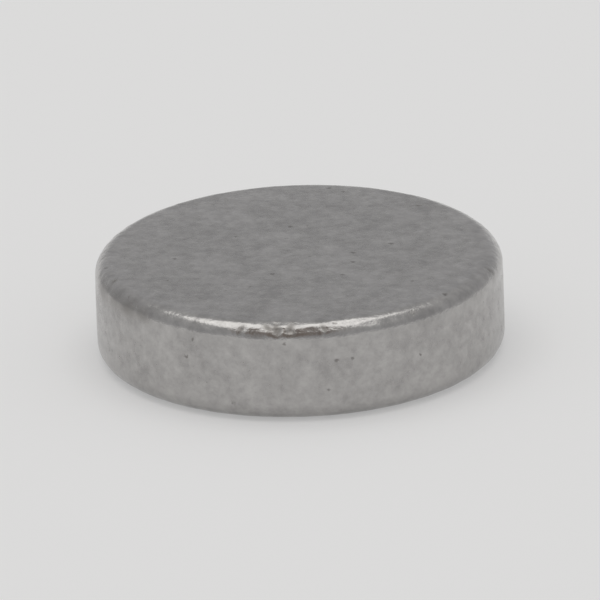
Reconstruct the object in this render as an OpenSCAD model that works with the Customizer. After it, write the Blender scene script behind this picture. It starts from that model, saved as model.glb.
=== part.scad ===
// Disc magnet: a flat round permanent magnet, magnetised through its thickness.
// One sintered blank, ground to size, tumbled to break its edges and plated all over.
// It lies on its lower pole face. The origin is the centre of that face, and +Z is the magnetic axis.

/* [Disc] */
// Diameter over the plating
disc_d = 4; // [2:0.1:20]
// Thickness from pole face to pole face, over the plating
disc_h = 1; // [0.5:0.1:10]

/* [Edges] */
// Radius that tumbling leaves on both edges
edge_r = 0.15; // [0.05:0.01:0.2]

/* [Hidden] */

// Radius of the disc at its rim
disc_r = disc_d / 2;
// Radius at which a flat pole face gives way to the rounded edge
face_r = disc_r - edge_r;
// Height of the straight band of the rim, between the two rounded edges
rim_h = disc_h - 2 * edge_r;
// Sides of every circle
sides = 180;

// Half of the section through the axis: a slab with its two outer corners rounded
module half_section() {
    square([face_r, disc_h]);
    translate([0, edge_r]) square([disc_r, rim_h]);
    for (z = [edge_r, disc_h - edge_r])
        translate([face_r, z]) circle(r = edge_r, $fn = sides);
}

module disc_magnet() {
    color("silver")
        rotate_extrude($fn = sides) half_section();
}

disc_magnet();
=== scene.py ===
# %% [markdown]
# # A disc magnet, 4 mm across
#
# The object is one small disc of sintered magnet material. It was pressed and fired as a blank, ground
# flat, tumbled with loose media until its edges were round, and plated with nickel. A CAD model already
# gives its true size. This lesson gives it its looks: the worn round edge that catches the light, the dull
# mirror of the plating, and the small marks that tumbling leaves.
#
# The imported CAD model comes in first, and everything else takes its size and place from it. Its box is
# kept, because the model made here has to stay inside it.

# %% Load the frame
import math
import random

import bmesh
import bpy
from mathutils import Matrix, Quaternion, Vector, kdtree, noise


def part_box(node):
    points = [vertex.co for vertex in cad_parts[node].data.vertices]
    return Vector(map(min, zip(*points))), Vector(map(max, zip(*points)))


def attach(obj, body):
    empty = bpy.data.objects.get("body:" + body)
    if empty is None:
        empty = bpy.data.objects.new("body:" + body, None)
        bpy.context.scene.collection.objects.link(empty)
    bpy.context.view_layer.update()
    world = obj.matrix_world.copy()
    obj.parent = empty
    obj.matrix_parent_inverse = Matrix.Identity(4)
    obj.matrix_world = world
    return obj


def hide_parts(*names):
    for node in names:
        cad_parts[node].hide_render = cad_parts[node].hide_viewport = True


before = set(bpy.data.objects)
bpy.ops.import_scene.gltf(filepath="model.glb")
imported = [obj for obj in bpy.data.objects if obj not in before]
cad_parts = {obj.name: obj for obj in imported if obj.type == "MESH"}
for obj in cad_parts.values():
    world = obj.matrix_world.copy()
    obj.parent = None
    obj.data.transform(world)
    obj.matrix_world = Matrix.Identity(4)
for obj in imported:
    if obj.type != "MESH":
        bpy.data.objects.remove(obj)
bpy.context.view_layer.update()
disc_low, disc_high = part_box("disc_magnet")

# %% [markdown]
# ## Sizes
#
# Typing the sizes in again would work until someone changes the CAD model, so they are measured on it. A
# CAD mesh is a polygon with many sides, which reaches a few micrometres less far in one direction than in
# another, so the shortest reach is taken as the radius. The radius of the rounded edges is what is left
# between the top of the straight rim and the upper face.

# %% Measure the disc
MM = 0.001
UM = 0.000001
disc_r = min(-disc_low.x, disc_high.x, -disc_low.y, disc_high.y)
disc_h = disc_high.z - disc_low.z
disc_middle = Vector((0, 0, (disc_low.z + disc_high.z) / 2))
cad_points = [vertex.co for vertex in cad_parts["disc_magnet"].data.vertices]
widest = max(point.xy.length for point in cad_points)
rim_top = max(point.z for point in cad_points if point.xy.length > widest - UM)
edge_r = disc_high.z - rim_top
face_r = disc_r - edge_r
print(f"disc {2 * disc_r / MM:.2f} mm across, {disc_h / MM:.2f} mm thick, edges {edge_r / MM:.2f} mm")

# %% [markdown]
# ## The camera
#
# A disc this small is looked at from close by, so the camera stands about a hand's length away, a little
# above the surface that the disc lies on. A camera far away with a long lens would flatten the two faces
# into equal ovals. A macro lens with a narrow sensor keeps the perspective of that short distance, and
# still fills the picture with the disc. The camera stands a few degrees off to the right and leans a
# little, as one that is held by hand does.
#
# All azimuths here are counted from the front of the disc, which faces -Y, round to the right. One small
# function turns an azimuth and a height into a direction, for the camera and for whatever comes later.

# %% Camera
VIEW_DISTANCE = 200 * MM
VIEW_ELEVATION = math.radians(21.2)
VIEW_AZIMUTH = math.radians(3.3)
VIEW_LEAN = math.radians(2.0)
LENS_MM = 100
DISC_SHARE = 0.68  # of the picture's width
CLIP_RANGE = 100  # how many times nearer and further than the disc the camera still sees


def towards(azimuth, height):
    """The direction at that azimuth, and that far above level."""
    level = math.cos(height)
    return Vector((math.sin(azimuth) * level, -math.cos(azimuth) * level, math.sin(height)))


away = towards(VIEW_AZIMUTH, VIEW_ELEVATION)
camera = bpy.data.objects.new("camera", bpy.data.cameras.new("camera"))
camera.data.lens = LENS_MM
camera.data.sensor_width = LENS_MM * (2 * disc_r / DISC_SHARE) / VIEW_DISTANCE
camera.data.clip_start = VIEW_DISTANCE / CLIP_RANGE
camera.data.clip_end = VIEW_DISTANCE * CLIP_RANGE
camera.location = disc_middle + away * VIEW_DISTANCE
camera.rotation_mode = "QUATERNION"
camera.rotation_quaternion = away.to_track_quat("Z", "Y") @ Quaternion((0, 0, 1), -VIEW_LEAN)
bpy.context.scene.collection.objects.link(camera)
bpy.context.scene.camera = camera
print(f"the picture is {2 * disc_r / DISC_SHARE / MM:.2f} mm wide at the disc")

# %% [markdown]
# ## Colours and nodes
#
# Colours are written as sRGB hex values, the numbers that a screen shows. Blender's shaders work in
# linear light, so one function turns the one into the other. A second small function adds a node: it sets
# the node's own settings, and for each input it either sets the value or makes the link.
#
# Most inputs have a name. The Mix node has a set of inputs for each kind of value, all with the same
# names, so its inputs are told apart by their numbers, which are named here once.

# %% Helpers for materials
FACTOR = 0
NUMBER_A, NUMBER_B, MIXED_NUMBER = 2, 3, 0
COLOUR_A, COLOUR_B, MIXED_COLOUR = 6, 7, 2


def linear(hex_colour):
    """The linear colour, with alpha, of an sRGB value such as #C8C8C8."""
    channels = [int(hex_colour[i:i + 2], 16) / 255 for i in (1, 3, 5)]
    return [c / 12.92 if c <= 0.04045 else ((c + 0.055) / 1.055) ** 2.4 for c in channels] + [1.0]


def add_node(tree, kind, inputs, **settings):
    """Adds a node with its settings. Each input is a value to set or a socket to link from."""
    made = tree.nodes.new(kind)
    for name, value in settings.items():
        setattr(made, name, value)
    for name, value in inputs.items():
        if isinstance(value, bpy.types.NodeSocket):
            tree.links.new(value, made.inputs[name])
        else:
            made.inputs[name].default_value = value
    return made


def new_material(name):
    """An empty node material and its node tree."""
    material = bpy.data.materials.new(name)
    material.use_nodes = True
    material.node_tree.nodes.clear()
    return material, material.node_tree


print(f"the middle grey #808080 sends back {linear('#808080')[0]:.2f} of the light")

# %% [markdown]
# ## The floor
#
# The disc lies on a sheet of pale matt card. Card scatters light evenly and has no mirror image, so a
# plain diffuse shader is the right one, and a flat plane is enough. It reaches far past the picture, so
# that the rim of the disc, which mirrors it, sees floor all the way to the horizon.
#
# More light would make the card whiter, and would spoil the metal. Instead, whoever looks at the card,
# straight, in a mirror or through glass, sees a part of it as an even glow. It lifts the card towards
# white and keeps the shadow, and it sheds no light on the disc.

# %% Floor of pale card
FLOOR_SIDE = 4.0
GLOW_SHARE = 0.35
card, card_tree = new_material("matt_card")
matt = add_node(card_tree, "ShaderNodeBsdfDiffuse", {"Color": linear("#F7F7F7")})
glow = add_node(card_tree, "ShaderNodeEmission", {"Color": linear("#EDEDED")})
ray = add_node(card_tree, "ShaderNodeLightPath", {})
straight_or_mirrored = add_node(
    card_tree, "ShaderNodeMath",
    {0: ray.outputs["Is Camera Ray"], 1: ray.outputs["Is Glossy Ray"]}, operation="MAXIMUM",
)
looked_at = add_node(
    card_tree, "ShaderNodeMath",
    {0: straight_or_mirrored.outputs["Value"], 1: ray.outputs["Is Transmission Ray"]},
    operation="MAXIMUM",
)
share = add_node(
    card_tree, "ShaderNodeMath", {0: looked_at.outputs["Value"], 1: GLOW_SHARE}, operation="MULTIPLY",
)
glowing_card = add_node(
    card_tree, "ShaderNodeMixShader",
    {0: share.outputs["Value"], 1: matt.outputs["BSDF"], 2: glow.outputs["Emission"]},
)
add_node(card_tree, "ShaderNodeOutputMaterial", {"Surface": glowing_card.outputs["Shader"]})

bpy.ops.mesh.primitive_plane_add(size=FLOOR_SIDE, location=(0, 0, disc_low.z))
floor = bpy.context.object
floor.name = "floor"
floor.data.materials.append(card)
print(f"floor {FLOOR_SIDE} m square at z = {disc_low.z / MM:.2f} mm")

# %% [markdown]
# ## The room
#
# Metal has hardly any colour of its own: it shows what stands around it. The room is therefore part of
# the material's look. Here it is a light tent. Its cloth goes on from the card floor without a break, is
# a little dimmer half way up, and brightens again under the lamp on its roof. Walls of real cloth would
# do, but a colour ramp over the height of the direction in which a ray leaves gives the same picture in
# the metal, and has no noise.

# %% Cloth of the tent
TENT_STOPS = (  # the sine of the height above the horizon, and the cloth's colour there
    (0.00, "#DADADA"), (0.08, "#C8C8C8"), (0.20, "#B9B9BA"), (0.36, "#B3B3B4"),
    (0.50, "#B3B3B4"), (0.70, "#BCBCBC"), (0.87, "#C6C6C6"), (1.00, "#D2D2D2"),
)
bpy.context.scene.view_settings.view_transform = "Standard"
world = bpy.data.worlds.new("light_tent")
bpy.context.scene.world = world
world.use_nodes = True
tent_tree = world.node_tree
tent_tree.nodes.clear()
direction = add_node(tent_tree, "ShaderNodeTexCoord", {}).outputs["Generated"]
ray_height = add_node(tent_tree, "ShaderNodeSeparateXYZ", {"Vector": direction})
cloth = add_node(tent_tree, "ShaderNodeValToRGB", {"Fac": ray_height.outputs["Z"]})
for sine, _ in TENT_STOPS[1:-1]:
    cloth.color_ramp.elements.new(sine)
for stop, (sine, cloth_tone) in zip(cloth.color_ramp.elements, TENT_STOPS):
    stop.position = sine
    stop.color = linear(cloth_tone)
print(f"tent cloth with {len(TENT_STOPS)} tones from the horizon to the roof")

# %% [markdown]
# A tent is open in front, where one looks in. The disc mirrors that opening as a darker patch with a soft
# border, taller than wide, and it gives the round edge the dark line under its bright one. To draw it,
# the direction of each ray and that of the opening are both stretched sideways and compared: the dot
# product of two directions is the cosine of the angle between them.

# %% Opening of the tent
OPENING_AZIMUTH = math.radians(-4.6)
OPENING_HEIGHT = math.radians(48)
OPENING_REACH = math.radians(26)
OPENING_BLUR = math.radians(10)
OPENING_STRETCH = Vector((1.4, 1, 1))
opening = (towards(OPENING_AZIMUTH, OPENING_HEIGHT) * OPENING_STRETCH).normalized()
stretched = add_node(
    tent_tree, "ShaderNodeVectorMath", {0: direction, 1: OPENING_STRETCH}, operation="MULTIPLY",
)
look = add_node(tent_tree, "ShaderNodeVectorMath", {0: stretched.outputs["Vector"]}, operation="NORMALIZE")
towards_it = add_node(
    tent_tree, "ShaderNodeVectorMath", {0: look.outputs["Vector"], 1: opening}, operation="DOT_PRODUCT",
)
inside_it = add_node(
    tent_tree, "ShaderNodeMapRange",
    {"Value": towards_it.outputs["Value"],
     "From Min": math.cos(OPENING_REACH + OPENING_BLUR), "From Max": math.cos(OPENING_REACH - OPENING_BLUR)},
    interpolation_type="SMOOTHSTEP",
)
tent = add_node(
    tent_tree, "ShaderNodeMix",
    {FACTOR: inside_it.outputs["Result"], COLOUR_A: cloth.outputs["Color"], COLOUR_B: linear("#8C837D")},
    data_type="RGBA",
)
background = add_node(tent_tree, "ShaderNodeBackground", {"Color": tent.outputs[MIXED_COLOUR]})
add_node(tent_tree, "ShaderNodeOutputWorld", {"Surface": background.outputs["Background"]})
print(f"opening {math.degrees(OPENING_HEIGHT):.0f} degrees up, {len(tent_tree.nodes)} nodes in all")

# %% [markdown]
# ## The lamp
#
# The lamp is a broad soft box on the roof of the tent. A round edge shrinks it to a bright line, which
# runs as far round the edge as the box is long. Since it hangs almost straight overhead, its light still
# reaches the floor right in front of the disc, so that the shadow there stays faint. It is turned from
# straight down by the shortest way, which keeps its long side level.

# %% Soft box
LAMP_LENGTH = 210 * MM
LAMP_WIDTH = 150 * MM
LAMP_DISTANCE = 190 * MM
LAMP_BEHIND = math.radians(2)  # from straight overhead
LAMP_LEFT = math.radians(3.1)
LAMP_WATTS = 0.09
up_to_lamp = Vector((-math.tan(LAMP_LEFT), math.tan(LAMP_BEHIND), 1)).normalized()
lamp = bpy.data.objects.new("soft_box", bpy.data.lights.new("soft_box", "AREA"))
lamp.data.shape = "RECTANGLE"
lamp.data.size = LAMP_LENGTH
lamp.data.size_y = LAMP_WIDTH
lamp.data.energy = LAMP_WATTS
lamp.data.color = linear("#FFFEFB")[:3]
lamp.location = disc_middle + up_to_lamp * LAMP_DISTANCE
lamp.rotation_mode = "QUATERNION"
lamp.rotation_quaternion = Vector((0, 0, 1)).rotation_difference(up_to_lamp)
bpy.context.scene.collection.objects.link(lamp)
print(f"soft box {LAMP_LENGTH / MM:.0f} x {LAMP_WIDTH / MM:.0f} mm, {LAMP_DISTANCE / MM:.0f} mm away")

# %% [markdown]
# ## The shape: the section
#
# Tumbling rounds both edges to the radius of the CAD model. The section through the disc is worked out
# once, as points down the upper arc, down the straight rim and round the lower arc, and the mesh is made
# from it. A bevel on a cylinder would give nearly the same outline, but not the choice of how close the
# points lie, and the marks of tumbling need many on the arcs. Each point also keeps how far down the
# section it lies, because the texture map and the gloss need that later.

# %% Section
ARC_STEPS = 16
RIM_STEPS = 26
QUARTER_TURN = math.pi / 2
arc_length = QUARTER_TURN * edge_r
rim_h = disc_h - 2 * edge_r
band = 2 * arc_length + rim_h


def section():
    """The points (radius, height, way down) from the edge of the upper face to that of the lower one."""
    points = []
    for i in range(ARC_STEPS + 1):
        turn = QUARTER_TURN * i / ARC_STEPS
        out, down = edge_r * math.sin(turn), edge_r * (1 - math.cos(turn))
        points.append((face_r + out, disc_high.z - down, edge_r * turn))
    for i in range(1, RIM_STEPS):
        down = rim_h * i / RIM_STEPS
        points.append((disc_r, disc_high.z - edge_r - down, arc_length + down))
    upper_arc = points[:ARC_STEPS + 1]
    mirrored = disc_low.z + disc_high.z
    return points + [(r, mirrored - z, band - way) for r, z, way in reversed(upper_arc)]


print(f"{len(section())} points, {band / MM:.2f} mm from face to face")

# %% [markdown]
# ## The shape: two flat faces
#
# The faces of a plain cylinder are two huge polygons, and worn faces need points all over. A fan of rings
# crowds its points at the middle. So each face is a square grid squeezed into a disc: the outermost
# square becomes the outermost circle, every square inside it becomes a circle too, and all the quads
# stay about the same size.

# %% Face grid
RINGS = 80  # squares from the middle of a face to its rounded edge
EIGHTH_TURN = math.pi / 4


def squeezed(a, b):
    """Where a point of the square from -1 to 1 lands in the disc of radius 1."""
    if a == b == 0:
        return 0.0, 0.0
    if abs(a) > abs(b):
        radius, angle = a, EIGHTH_TURN * b / a
    else:
        radius, angle = b, QUARTER_TURN - EIGHTH_TURN * a / b
    return radius * math.cos(angle), radius * math.sin(angle)


def add_face(bm, z, way):
    """Adds a pole face as a squeezed grid at height z. All of it lies that way down the section."""
    made = bmesh.ops.create_grid(bm, x_segments=2 * RINGS, y_segments=2 * RINGS, size=1)
    for vertex in made["verts"]:
        x, y = squeezed(vertex.co.x, vertex.co.y)
        vertex.co = (face_r * x, face_r * y, z)
        vertex[way_down] = way


bm = bmesh.new()
way_down = bm.verts.layers.float.new("way_down")
add_face(bm, disc_high.z, 0)
around = 8 * RINGS
print(f"{around} points around, {2 * math.pi * disc_r / around / UM:.0f} micrometres apart")

# %% [markdown]
# ## The shape: the body
#
# The border of the upper face is extruded from point to point of the section, like clay pulled along a
# template. The ring of new points is pulled out or in to the section's radius each time, and lowered to
# its height. The lower face closes the shape, and the points that meet there are merged.

# %% Body
ring = [edge for edge in bm.edges if edge.is_boundary]
for r, z, way in section()[1:]:
    pulled = bmesh.ops.extrude_edge_only(bm, edges=ring)["geom"]
    for vertex in (part for part in pulled if isinstance(part, bmesh.types.BMVert)):
        flat_place = vertex.co.xy * (r / vertex.co.xy.length)
        vertex.co = (*flat_place, z)
        vertex[way_down] = way
    ring = [part for part in pulled if isinstance(part, bmesh.types.BMEdge) and part.is_boundary]
add_face(bm, disc_low.z, band)
bmesh.ops.remove_doubles(bm, verts=bm.verts, dist=UM)
bmesh.ops.recalc_face_normals(bm, faces=bm.faces)
bm.normal_update()
print(f"{len(bm.faces)} quads, closed: {all(edge.is_manifold for edge in bm.edges)}")

# %% [markdown]
# ## The texture map
#
# The pattern of the metal follows the surface in space, so it needs no map. A game engine does: when the
# model is exported, the pattern is painted on a square picture. An automatic map cuts the disc into many
# scraps. By hand it is four pieces: the two faces side by side, and below them the band around the disc
# as two straight strips, one for the front half and one for the back.

# %% Map
MAP_MARGIN = 0.01
UPPER_SPOT, LOWER_SPOT = (0.25, 0.75), (0.75, 0.75)  # the middles of the two faces on the map
SPOT_RADIUS = 0.25 - MAP_MARGIN
STRIP_LENGTH = 1 - 2 * MAP_MARGIN
NEARLY_LEVEL = 0.9999
strip_scale = STRIP_LENGTH / (math.pi * disc_r)


def on_strip(vertex, front):
    """The place on the map of a point of the band, on the front strip or the back one."""
    x, y, _ = vertex.co if front else -vertex.co
    along = math.atan2(x, -y) / math.pi  # from -0.5 to 0.5 within its own half
    low = MAP_MARGIN if front else 2 * MAP_MARGIN + band * strip_scale
    return 0.5 + along * STRIP_LENGTH, low + vertex[way_down] * strip_scale


def on_face(vertex, upper):
    """The place on the map of a point of the upper or the lower face."""
    u, v = UPPER_SPOT if upper else LOWER_SPOT
    return u + vertex.co.x / face_r * SPOT_RADIUS, v + vertex.co.y / face_r * SPOT_RADIUS


texture_map = bm.loops.layers.uv.new("OFBake")
for quad in bm.faces:
    middle = quad.calc_center_median()
    is_pole_face = middle.xy.length < face_r and abs(quad.normal.z) > NEARLY_LEVEL
    for corner in quad.loops:
        if is_pole_face:
            corner[texture_map].uv = on_face(corner.vert, middle.z > disc_middle.z)
        else:
            corner[texture_map].uv = on_strip(corner.vert, middle.y < 0)
print(f"1 mm is {SPOT_RADIUS / face_r * MM:.3f} of the map on a face, {strip_scale * MM:.3f} on the band")

# %% [markdown]
# ## Flats on the edges
#
# In the drum, thousands of blanks knock against each other. Their edges are never turned as clean as on a
# lathe: they are made of small flats, each pressed by another disc. A flat is a few micrometres deep, but
# metal shows it at once, because all of it mirrors the same spot: it is a dash of light where that spot
# is the lamp, and a gap in the bright line where it isn't. A bump map would not move the outline, so the
# points themselves are moved: whatever stands proud of the flat's plane is pushed back onto it. A tree of
# the points finds those near a flat quickly.
#
# Everything is moved inwards from the ideal surface, so the disc never grows past its box.

# %% One flat
FLAT_REACH = 0.5 * MM


def edge_place(azimuth, slope):
    """The centre of the edge's arc there, and the way out. A slope of 90 degrees faces straight up."""
    above_middle = math.copysign(disc_h / 2 - edge_r, slope)
    centre = towards(azimuth, 0) * face_r
    centre.z = disc_middle.z + above_middle
    return centre, towards(azimuth, slope)


def press_flat(azimuth, slope, depth):
    """Presses a flat into an edge. Its slope says which way it faces."""
    centre, outwards = edge_place(azimuth, slope)
    limit = centre.dot(outwards) + edge_r - depth
    for _, index, _ in near.find_range(centre + outwards * edge_r, FLAT_REACH):
        vertex = bm.verts[index]
        proud = vertex.co.dot(outwards) - limit
        if proud > 0:
            vertex.co -= outwards * proud


near = kdtree.KDTree(len(bm.verts))
for index, vertex in enumerate(bm.verts):
    near.insert(vertex.co, index)
near.balance()
bm.verts.ensure_lookup_table()
print(f"{len(bm.verts)} points to press")

# %% [markdown]
# The edge in front is seen best, so its flats are listed one by one. A surface that slopes by s mirrors
# what stands at a height of 2 s, less the height that one looks down from. The lamp is at about 90 degrees
# there, so a flat of 56 to 64 degrees widens the bright line, one of about 43 takes its lower part away,
# and one of about 74 its upper part. Elsewhere the flats are drawn at random.

# %% All flats
FRONT_FLATS = (  # on the front of the upper edge: azimuth and slope in degrees, depth in micrometres
    (-72, 44, 8), (-66, 44, 9), (-60, 43, 11), (-52, 46, 9),
    (-31, 40, 1.6), (-24, 36, 2.0), (-18, 57, 3.0), (-12.5, 43, 3.2), (-9, 41, 2.6), (-8, 59, 2.2),
    (-5.8, 43, 5.5), (-3, 41, 6.0), (-4.2, 75, 5.0), (-0.6, 73, 3.4), (2.0, 59, 2.2), (5, 42, 5.4),
    (8.2, 42, 3.8), (11, 43, 3.4), (15, 63, 3.2), (19, 64, 3.4), (24, 43, 4.2), (30, 43, 4.0),
)
FLATS_PER_EDGE = 70
SLOPES = (18, 78)
DEPTHS = (0.4, 3.0)
UPPER_AND_LOWER = (1, -1)
for azimuth, slope, depth in FRONT_FLATS:
    press_flat(math.radians(azimuth), math.radians(slope), depth * UM)

draw = random.Random(4)
for side in UPPER_AND_LOWER:
    for _ in range(FLATS_PER_EDGE):
        azimuth = draw.uniform(-math.pi, math.pi)
        slope = side * math.radians(draw.uniform(*SLOPES))
        press_flat(azimuth, slope, draw.uniform(*DEPTHS) * UM)
print(f"{len(FRONT_FLATS)} flats by hand, {2 * FLATS_PER_EDGE} drawn at random")

# %% [markdown]
# ## Nicks
#
# A nick is another thing: a hard corner struck the edge and left a small hollow, longer than wide. It
# bends the bright line, and the struck metal in it is a little duller. The material also paints a nick
# darker, and that darker colour is painted shade: it breaks the bright line further. A wide and shallow
# one is a spot where the edge was rubbed dull, and it is painted darker in the same way. The points are
# sunk along a smooth bell, because a sharp border would look like a crater. Each point also keeps how hard
# it was struck, from 0 to 1, and the material reads that later for the dullness and the painted shade.
# The deeper a nick, the duller and darker it is.

# %% One nick
NICK_MARK = "bruise_and_shade"
NICK_SLIM = 2.0  # how many times longer than wide
# A nick this deep is also painted as dark as it gets: that darkness is painted shade.
DULL_AND_DARK_DEPTH = 4 * UM  # a nick of this depth or more is as dull as can be in its middle
# How hard a point was struck: it makes the metal duller, and paints it darker as painted shade.
bruise_and_shade = bm.verts.layers.float.new(NICK_MARK)


def strike(azimuth, slope, lean, reach, depth):
    """Leaves a slim hollow in an edge, placed as a flat is. At a lean of 0 it runs across the edge."""
    arc_centre, outwards = edge_place(azimuth, slope)
    centre = arc_centre + outwards * edge_r
    around_edge = towards(azimuth + QUARTER_TURN, 0)
    sideways = around_edge * math.cos(lean) + outwards.cross(around_edge) * math.sin(lean)
    for _, index, _ in near.find_range(centre, reach):
        vertex = bm.verts[index]
        off = vertex.co - centre
        off += sideways * (off.dot(sideways) * (NICK_SLIM - 1))
        bell = max(1 - (off.length / reach) ** 2, 0) ** 2
        vertex.co -= outwards * depth * bell
        vertex[bruise_and_shade] = max(vertex[bruise_and_shade], bell * min(depth / DULL_AND_DARK_DEPTH, 1))


print(f"a nick is {NICK_SLIM:.0f} times longer than wide")

# %% [markdown]
# Again the nicks in front are listed one by one, and the rest are drawn at random. The last four in the
# list are wide and shallow, and run along the edge: the dull spot on the left, painted darker as shade.

# %% All nicks
FRONT_NICKS = (  # azimuth, slope and lean in degrees, reach and depth in micrometres
    (-6.4, 56, 50, 100, 5), (-4.0, 54, 8, 130, 12), (-3.2, 36, -30, 90, 5), (0.2, 54, -15, 120, 9),
    (1.0, 36, 20, 80, 4), (9.8, 46, 25, 80, 5), (-14, 42, -20, 80, 4),
    (-71, 5, 88, 320, 2.4), (-62, 11, 88, 300, 2), (-55, 14, 90, 290, 3), (-48, 18, 80, 220, 2.5),
)
NICKS_PER_EDGE = 6
NICK_REACHES = (50, 110)
NICK_DEPTHS = (2, 5)
for azimuth, slope, lean, reach, depth in FRONT_NICKS:
    strike(*map(math.radians, (azimuth, slope, lean)), reach * UM, depth * UM)

for side in UPPER_AND_LOWER:
    for _ in range(NICKS_PER_EDGE):
        azimuth = draw.uniform(-math.pi, math.pi)
        slope = side * math.radians(draw.uniform(*SLOPES))
        lean = draw.uniform(-QUARTER_TURN, QUARTER_TURN)
        reach = draw.uniform(*NICK_REACHES) * UM
        strike(azimuth, slope, lean, reach, draw.uniform(*NICK_DEPTHS) * UM)
print(f"{len(FRONT_NICKS)} nicks by hand, {2 * NICKS_PER_EDGE} drawn at random")

# %% [markdown]
# ## Worn faces and rim
#
# Tumbling wears an edge most, and the surface next to it a little. So the faces fall away over their last
# half millimetre, and the rim draws in towards both of its ends. It is a matter of micrometres, but a
# mirror shows it as a slow change of tone before the bright line starts. Both are written as a smooth
# squeeze of the whole shape, so that no crease can appear.
#
# Last, the surface wanders a little everywhere, more on the edges than elsewhere, because it was never
# exact. Smooth noise in space gives that.

# %% Wear
FACE_FALL = 10 * UM  # at the rim, and nothing nearer to the middle than FACE_FALL_FROM
FACE_FALL_FROM = 1.3 * MM
RIM_FALL = 5 * UM  # at the height of a face, and nothing nearer to half height than RIM_FALL_FROM
RIM_FALL_FROM = 0.10 * MM
EDGE_WANDER = 5 * UM
FACE_WANDER = 0.3 * UM
WANDER_LENGTH = 0.12 * MM
WANDER_SWING = 0.6
FALL_OFF, FINER, OCTAVES = 1.0, 2.0, 2  # two waves, the second half as high and half as long


def beyond(value, start, end):
    """0 up to start and 1 at end, growing with the square of the way between them."""
    return (max(value - start, 0) / (end - start)) ** 2


def wander(place):
    """Smooth noise from 0 to 1 with a wavelength of about WANDER_LENGTH."""
    wave = noise.fractal(place / WANDER_LENGTH, FALL_OFF, FINER, OCTAVES)
    return min(max(0.5 + WANDER_SWING * wave, 0), 1)


bm.normal_update()
for vertex in bm.verts:
    upright = vertex.normal.z ** 2
    on_edge = 4 * upright * (1 - upright)  # 1 half way round a rounded edge, 0 on the faces and the rim
    inwards = -vertex.normal * (FACE_WANDER + EDGE_WANDER * on_edge) * wander(vertex.co)
    above_middle = vertex.co.z - disc_middle.z
    thinner = FACE_FALL * beyond(vertex.co.xy.length, FACE_FALL_FROM, disc_r) / (disc_h / 2)
    narrower = RIM_FALL * beyond(abs(above_middle), RIM_FALL_FROM, disc_h / 2) / disc_r
    vertex.co.z -= above_middle * thinner
    vertex.co.xy *= 1 - narrower
    vertex.co += inwards
print(f"faces fall by {FACE_FALL / UM:.0f} micrometres, edges wander by {EDGE_WANDER / UM:.0f}")

# %% [markdown]
# ## Where the drum rubs
#
# The nickel on the rounded edges is shinier than on the faces, because that is where the drum rubs. The
# material has to know where it is. Blender's pointiness tells how sharply a mesh bends from one point to
# the next, and finds next to nothing on a mesh as fine as this. So each point keeps a number of its own:
# 1 on the edges, and down to 0 a little way off them.

# %% Mark of the rubbed edges
EDGE_MARK = "rubbed_edge"
EDGE_MARK_BLEND = 0.12 * MM
mark = bm.verts.layers.float.new(EDGE_MARK)
for vertex in bm.verts:
    from_face = min(vertex[way_down], band - vertex[way_down])
    if from_face < UM:
        off_edge = face_r - vertex.co.xy.length
    else:
        off_edge = from_face - arc_length
    near_edge = 1 - min(max(off_edge / EDGE_MARK_BLEND, 0), 1)
    vertex[mark] = near_edge * near_edge * (3 - 2 * near_edge)
print(f"{sum(vertex[mark] == 1 for vertex in bm.verts)} points on the rounded edges")

# %% [markdown]
# ## The piece
#
# The points and quads become a mesh, and the mesh an object. It is shaded smooth, because its quads are
# far smaller than anything that the eye should see.

# %% The piece
mesh = bpy.data.meshes.new("plated_disc")
bm.to_mesh(mesh)
bm.free()
mesh.shade_smooth()
disc = bpy.data.objects.new("plated_disc", mesh)
bpy.context.scene.collection.objects.link(disc)
print(f"plated_disc: {len(mesh.polygons)} quads")

# %% [markdown]
# ## Nickel plate: grain
#
# Nickel is a warm grey metal. Plated in a barrel over a tumbled blank, it comes out satin: it mirrors
# light and dark, but no picture. A metal in the Principled shader needs only its colour and a roughness,
# and all the rest is in how they vary.
#
# The plate grew in clouds, thicker here and thinner there. Over them lies the grain, small hollows
# between the grains of the blank beneath, and a sparkle of single crystals. Each is a noise of its own
# size, in millimetres of the object, so that it stays true at any zoom.

# %% Satin nickel: clouds, grain and sparkle
CLOUD_MM = 0.45
GRAIN_MM = 0.12  # the true grain is about 0.02 mm; drawn coarser, so that it shows from a hand's length
SPARKLE_MM = 0.035  # single crystals are some 0.005 mm; drawn coarser for the same reason
NOISE_LOW, NOISE_HIGH = 0.3, 0.7  # between these the noise does nearly all its going up and down
nickel, nickel_tree = new_material("satin_nickel_plate")
place = add_node(nickel_tree, "ShaderNodeTexCoord", {})
in_mm = add_node(
    nickel_tree, "ShaderNodeMapping", {"Vector": place.outputs["Object"], "Scale": [1 / MM] * 3},
)
point = in_mm.outputs["Vector"]
cloud = add_node(nickel_tree, "ShaderNodeTexNoise", {"Vector": point, "Scale": 1 / CLOUD_MM, "Detail": 2.0})
grain = add_node(
    nickel_tree, "ShaderNodeTexNoise",
    {"Vector": point, "Scale": 1 / GRAIN_MM, "Detail": 5.0, "Roughness": 0.68},
)
sparkle = add_node(
    nickel_tree, "ShaderNodeTexNoise", {"Vector": point, "Scale": 1 / SPARKLE_MM, "Detail": 1.0},
)
drift = add_node(
    nickel_tree, "ShaderNodeMapRange",
    {"Value": cloud.outputs["Fac"], "From Min": NOISE_LOW, "From Max": NOISE_HIGH},
)
hollows = add_node(
    nickel_tree, "ShaderNodeMapRange",
    {"Value": grain.outputs["Fac"], "From Min": NOISE_LOW, "From Max": NOISE_HIGH},
)
print(f"clouds of {CLOUD_MM} mm, grain of {GRAIN_MM} mm, sparkle of {SPARKLE_MM} mm")
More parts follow.
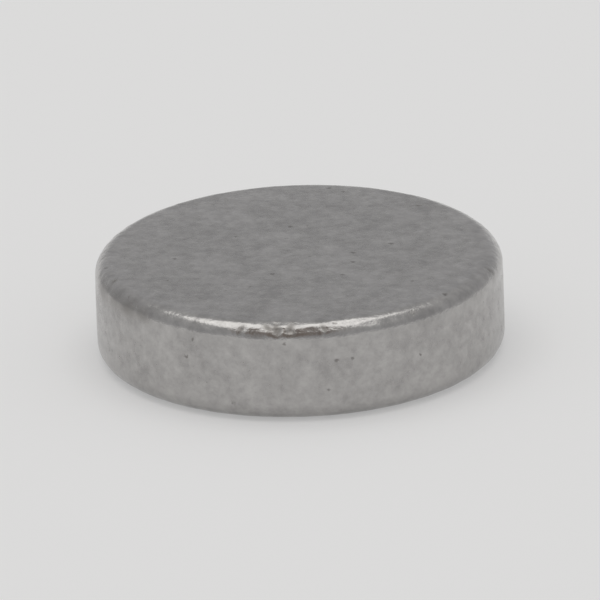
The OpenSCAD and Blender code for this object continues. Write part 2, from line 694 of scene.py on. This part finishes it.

# %% [markdown]
# ## Nickel plate: pores
#
# A sintered blank has pores, and the plating doesn't close all of them. They are sunk a little, and their
# dark specks are painted shade in the hollows.
# Voronoi cells place them, one in each cell at most. The cell's own random colour decides how far its
# pore reaches, so that most are hardly there. A round speck looks drawn, so the sparkle noise makes their
# borders ragged.

# %% Satin nickel: pores
PORE_GAP_MM = 0.26
RAGGED_MM = 0.05
SMALLEST_PORE, LARGEST_PORE = 0.03, 0.17  # of the size of a cell
PORE_FLOOR = 0.4  # of the way from a pore's middle to its border
ragged = add_node(
    nickel_tree, "ShaderNodeVectorMath",
    {0: sparkle.outputs["Color"], 1: [RAGGED_MM] * 3, 2: point}, operation="MULTIPLY_ADD",
)
cell = add_node(
    nickel_tree, "ShaderNodeTexVoronoi", {"Vector": ragged.outputs["Vector"], "Scale": 1 / PORE_GAP_MM},
)
pore_reach = add_node(
    nickel_tree, "ShaderNodeMapRange",
    {"Value": cell.outputs["Color"], "To Min": SMALLEST_PORE, "To Max": LARGEST_PORE},
)
off_middle = add_node(
    nickel_tree, "ShaderNodeMath",
    {0: cell.outputs["Distance"], 1: pore_reach.outputs["Result"]}, operation="DIVIDE",
)
solid = add_node(
    nickel_tree, "ShaderNodeMapRange",
    {"Value": off_middle.outputs["Value"], "From Min": PORE_FLOOR}, interpolation_type="SMOOTHSTEP",
)
print(f"at most one pore in each {PORE_GAP_MM} mm, up to {2 * LARGEST_PORE * PORE_GAP_MM:.2f} mm across")

# %% [markdown]
# ## Nickel plate: grinding and marks
#
# The blank was ground flat before it was tumbled and plated, which leaves a faint lay of parallel lines
# on the faces. A noise that is stretched along one direction draws them. The two numbers that the points
# keep, for the rubbed edges and the nicks, come in as attributes.

# %% Satin nickel: lay and marks
LAY_MM = 0.025
LAY_LONG_MM = 0.83
LAY_TURN = math.radians(27)
along_lay = add_node(
    nickel_tree, "ShaderNodeMapping",
    {"Vector": point, "Rotation": (0, 0, LAY_TURN), "Scale": (1 / LAY_LONG_MM, 1 / LAY_MM, 1)},
)
lay = add_node(
    nickel_tree, "ShaderNodeTexNoise", {"Vector": along_lay.outputs["Vector"], "Scale": 1.0, "Detail": 1.0},
)
rubbed = add_node(nickel_tree, "ShaderNodeAttribute", {}, attribute_name=EDGE_MARK)
# The mark of the nicks, read for their dullness and for their painted shade.
bruised_and_shaded = add_node(nickel_tree, "ShaderNodeAttribute", {}, attribute_name=NICK_MARK)
print(f"lines of the lay {LAY_MM} mm wide and {LAY_LONG_MM} mm long")

# %% [markdown]
# ## Nickel plate: colour
#
# One tone between dark and light comes from the grain and the clouds. The faces were ground, and so show
# it more strongly than the rim. How far a point faces up or down is the square of its normal's height.
# The tone picks a colour between the two greys of the plate. Over that lie the pores and the nicks, both
# painted darker: painted shade in the hollows of the pores, and on the nicks over their real dullness.

# %% Satin nickel: colour
GRAIN_SHARE = 0.7
FACE_CONTRAST = 1.25
rim_tone = add_node(
    nickel_tree, "ShaderNodeMix",
    {FACTOR: GRAIN_SHARE, NUMBER_A: drift.outputs["Result"], NUMBER_B: hollows.outputs["Result"]},
)
face_tone = add_node(
    nickel_tree, "ShaderNodeMapRange",
    {"Value": rim_tone.outputs[MIXED_NUMBER],
     "To Min": (1 - FACE_CONTRAST) / 2, "To Max": (1 + FACE_CONTRAST) / 2}, clamp=False,
)
facing = add_node(nickel_tree, "ShaderNodeSeparateXYZ", {"Vector": place.outputs["Normal"]})
levelness = add_node(
    nickel_tree, "ShaderNodeMath", {0: facing.outputs["Z"], 1: facing.outputs["Z"]}, operation="MULTIPLY",
)
tone = add_node(
    nickel_tree, "ShaderNodeMix",
    {FACTOR: levelness.outputs["Value"], NUMBER_A: rim_tone.outputs[MIXED_NUMBER],
     NUMBER_B: face_tone.outputs["Result"]},
)
plate_colour = add_node(
    nickel_tree, "ShaderNodeMix",
    {FACTOR: tone.outputs[MIXED_NUMBER], COLOUR_A: linear("#A09E9D"), COLOUR_B: linear("#C3C1BF")},
    data_type="RGBA",
)
# Painted shade: the pores are painted darker, #8C8987, for the shade in their hollows.
shaded_pores_colour = add_node(
    nickel_tree, "ShaderNodeMix",
    {FACTOR: solid.outputs["Result"], COLOUR_A: linear("#8C8987"),
     COLOUR_B: plate_colour.outputs[MIXED_COLOUR]}, data_type="RGBA",
)
# Painted shade: the nicks and the rubbed spot on the left are painted darker, #8F8C89, over their dullness.
colour = add_node(
    nickel_tree, "ShaderNodeMix",
    {FACTOR: bruised_and_shaded.outputs["Fac"], COLOUR_A: shaded_pores_colour.outputs[MIXED_COLOUR],
     COLOUR_B: linear("#8F8C89")}, data_type="RGBA",
)
print(f"grain makes {GRAIN_SHARE:.0%} of the tone, {FACE_CONTRAST} times as strong on the faces")

# %% [markdown]
# ## Nickel plate: gloss
#
# Polished nickel has a roughness near 0.05, and a matt one 0.4. This plate lies between: duller in the
# dark hollows, brighter on the grains, shiny on the rubbed edges, and dull again in the nicks.

# %% Satin nickel: roughness
HOLLOW_ROUGHNESS = 0.30
GRAIN_ROUGHNESS = 0.22
RUBBED_ROUGHNESS = 0.15
BRUISED_ROUGHNESS = 0.5
plate_roughness = add_node(
    nickel_tree, "ShaderNodeMapRange",
    {"Value": tone.outputs[MIXED_NUMBER], "To Min": HOLLOW_ROUGHNESS, "To Max": GRAIN_ROUGHNESS},
)
edge_roughness = add_node(
    nickel_tree, "ShaderNodeMix",
    {FACTOR: rubbed.outputs["Fac"], NUMBER_A: plate_roughness.outputs["Result"], NUMBER_B: RUBBED_ROUGHNESS},
)
roughness = add_node(
    nickel_tree, "ShaderNodeMix",
    {FACTOR: bruised_and_shaded.outputs["Fac"], NUMBER_A: edge_roughness.outputs[MIXED_NUMBER],
     NUMBER_B: BRUISED_ROUGHNESS},
)
print(f"roughness {GRAIN_ROUGHNESS} to {HOLLOW_ROUGHNESS}, {RUBBED_ROUGHNESS} on the edges")

# %% [markdown]
# ## Nickel plate: relief
#
# The same patterns also shape the surface, each by its own true height. Bump nodes in a chain add them
# up: each one starts from the normal that the one before it made. The last one feeds the shader, which is
# all metal and has the colour and the roughness made above. Its index of refraction stays as it is.

# %% Satin nickel: relief and shader
RELIEFS = (  # the pattern, and how high it stands
    (lay.outputs["Fac"], 0.15 * UM),
    (grain.outputs["Fac"], 7.0 * UM),
    (sparkle.outputs["Fac"], 1.3 * UM),
    (solid.outputs["Result"], 2.0 * UM),
)
relief = {}
for pattern, relief_height in RELIEFS:
    bump = add_node(
        nickel_tree, "ShaderNodeBump",
        {"Height": pattern, "Distance": relief_height, "Strength": 1.0, **relief},
    )
    relief = {"Normal": bump.outputs["Normal"]}
metal = add_node(
    nickel_tree, "ShaderNodeBsdfPrincipled",
    {"Base Color": colour.outputs[MIXED_COLOUR], "Metallic": 1.0,
     "Roughness": roughness.outputs[MIXED_NUMBER], **relief},
)
add_node(nickel_tree, "ShaderNodeOutputMaterial", {"Surface": metal.outputs["BSDF"]})
mesh.materials.append(nickel)
print(f"{nickel.name}: {len(nickel_tree.nodes)} nodes")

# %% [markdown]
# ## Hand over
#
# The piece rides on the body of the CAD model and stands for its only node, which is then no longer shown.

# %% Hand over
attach(disc, "root")
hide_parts("disc_magnet")
